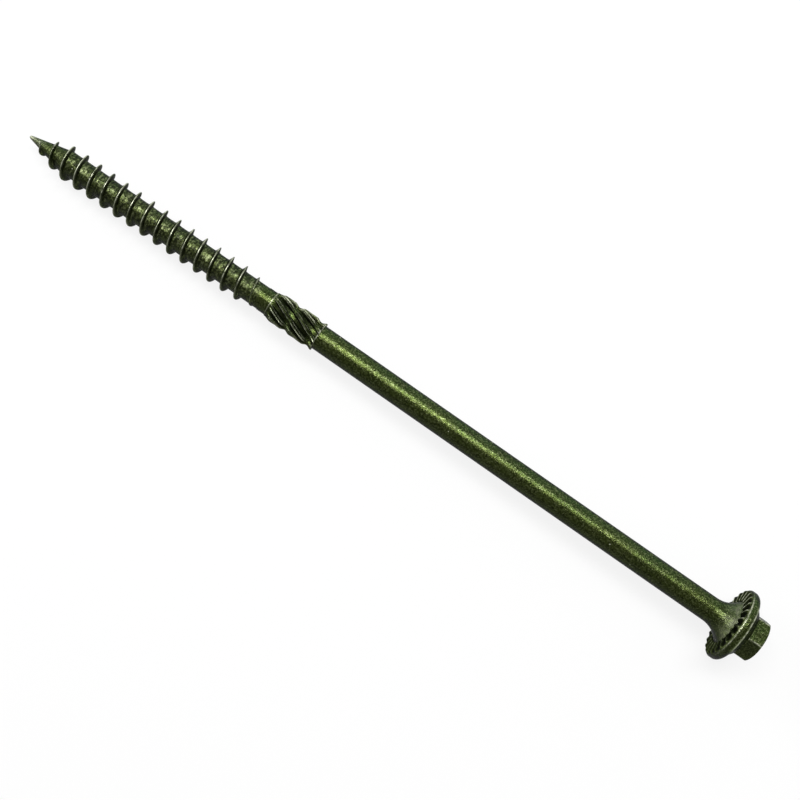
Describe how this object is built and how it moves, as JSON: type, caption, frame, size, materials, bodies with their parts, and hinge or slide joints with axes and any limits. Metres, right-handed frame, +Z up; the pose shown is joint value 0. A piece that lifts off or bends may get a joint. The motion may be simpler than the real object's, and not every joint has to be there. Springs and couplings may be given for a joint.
{
  "type": "timber screw",
  "caption": "Hex flange timber screw with a sharp coarse-threaded point, a helical shank cutter, a smooth shank, a flared neck and a flange ridged underneath.",
  "frame": {"origin": "on the plane it lies on, under the middle of its length", "axes": "+X towards the head, +Z up; the screw's own axis rises towards the head by the small angle at which it rests"},
  "size_m": [0.1664, 0.0146, 0.0147],
  "materials": {
    "coated_steel": "satin"
  },
  "bodies": {
    "root": {"screw": "coated_steel"}
  },
  "joints": []
}
